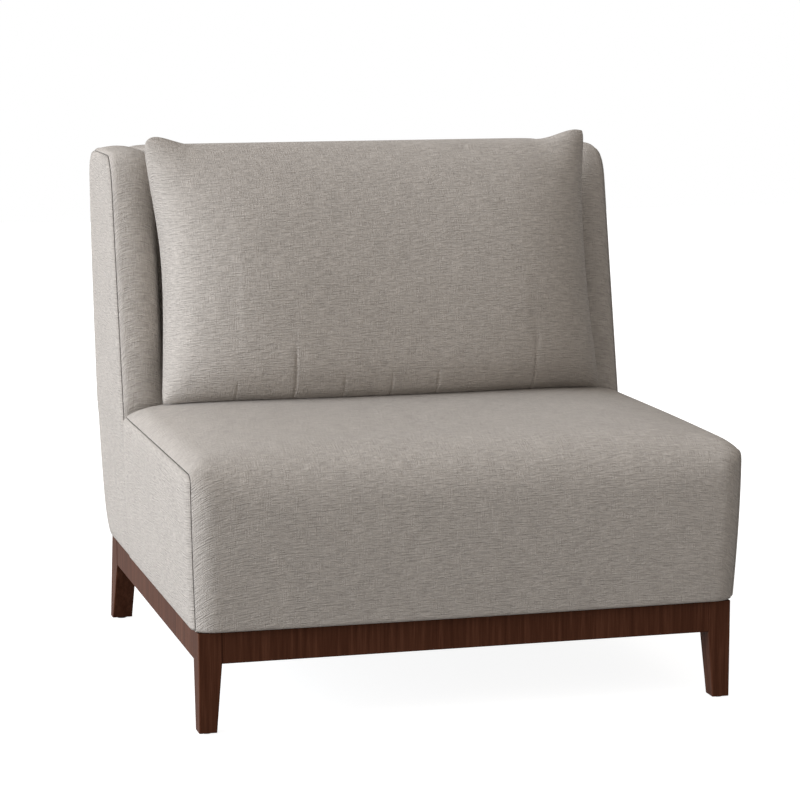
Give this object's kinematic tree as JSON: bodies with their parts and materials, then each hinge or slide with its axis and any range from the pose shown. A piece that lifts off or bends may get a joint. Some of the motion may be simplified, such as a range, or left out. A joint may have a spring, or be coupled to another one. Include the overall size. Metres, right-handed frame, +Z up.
{
  "type": "slipper chair",
  "caption": "Armless upholstered slipper chair with a winged back, a loose back pillow, a sprung seat and a low wood base on tapered legs.",
  "frame": {"origin": "on the floor, under the middle of the chair's outline", "axes": "+Z up, +X to the right as seen from in front, +Y from the front of the seat to the back"},
  "size_m": [0.876, 0.904, 0.8609],
  "materials": {
    "wood": "dark walnut stain, satin lacquer",
    "block": "plain hardwood, stained with the base",
    "screw": "zinc plated steel",
    "glide": "moulded nylon",
    "hardwood": "kiln dried hardwood, unfinished",
    "plywood": "plywood, unfinished",
    "dust": "black spun cloth",
    "spring": "oil tempered spring wire",
    "felt": "needled felt",
    "webbing": "elastic webbing",
    "foam": "polyurethane foam with a fibre wrap",
    "fabric": "warm greige woven upholstery cloth with a horizontal slub",
    "pillow": "fibre fill in a ticking",
    "pillow_fabric": "warm greige woven upholstery cloth with a horizontal slub",
    "zip": "nylon coil zip on woven tape",
    "slider": "die cast"
  },
  "bodies": {
    "chair": {"front_right_leg": "wood", "front_left_leg": "wood", "rear_right_leg": "wood", "rear_left_leg": "wood", "front_rail": "wood", "rear_rail": "wood", "right_rail": "wood", "left_rail": "wood", "front_right_corner_block": "block", "front_left_corner_block": "block", "rear_right_corner_block": "block", "rear_left_corner_block": "block", "front_right_frame_screw": "screw", "front_left_frame_screw": "screw", "rear_right_frame_screw": "screw", "rear_left_frame_screw": "screw", "front_right_glide": "glide", "front_left_glide": "glide", "rear_right_glide": "glide", "rear_left_glide": "glide", "right_seat_rail": "hardwood", "left_seat_rail": "hardwood", "front_seat_rail": "hardwood", "rear_seat_rail": "hardwood", "top_back_rail": "hardwood", "low_back_rail": "hardwood", "right_wing_frame": "plywood", "left_wing_frame": "plywood", "dust_cover": "dust", "seat_spring_1": "spring", "seat_spring_2": "spring", "seat_spring_3": "spring", "seat_spring_4": "spring", "seat_spring_5": "spring", "stay_wire": "spring", "deck_felt": "felt", "back_webbing_1": "webbing", "back_webbing_2": "webbing", "back_webbing_3": "webbing", "seat_foam": "foam", "right_wing_foam": "foam", "left_wing_foam": "foam", "back_foam": "foam", "seat_top_cover": "fabric", "right_seat_side_cover": "fabric", "left_seat_side_cover": "fabric", "right_wing_outer_cover": "fabric", "left_wing_outer_cover": "fabric", "inside_back_cover": "fabric", "right_wing_inner_cover": "fabric", "left_wing_inner_cover": "fabric", "outside_back_cover": "fabric"},
    "pillow": {"pillow_core": "pillow", "pillow_front_cover": "pillow_fabric", "pillow_back_cover": "pillow_fabric", "zip_tape": "zip"},
    "zip_slider": {"zip_slider": "slider"}
  },
  "joints": [
    {"name": "pillow_lift", "type": "slide", "parent": "chair", "child": "pillow", "axis": [0, 0, 1], "range_m": [0, 0.5]},
    {"name": "zip_slide", "type": "slide", "parent": "pillow", "child": "zip_slider", "axis": [-1, 0, 0], "range_m": [0, 0.47]}
  ]
}
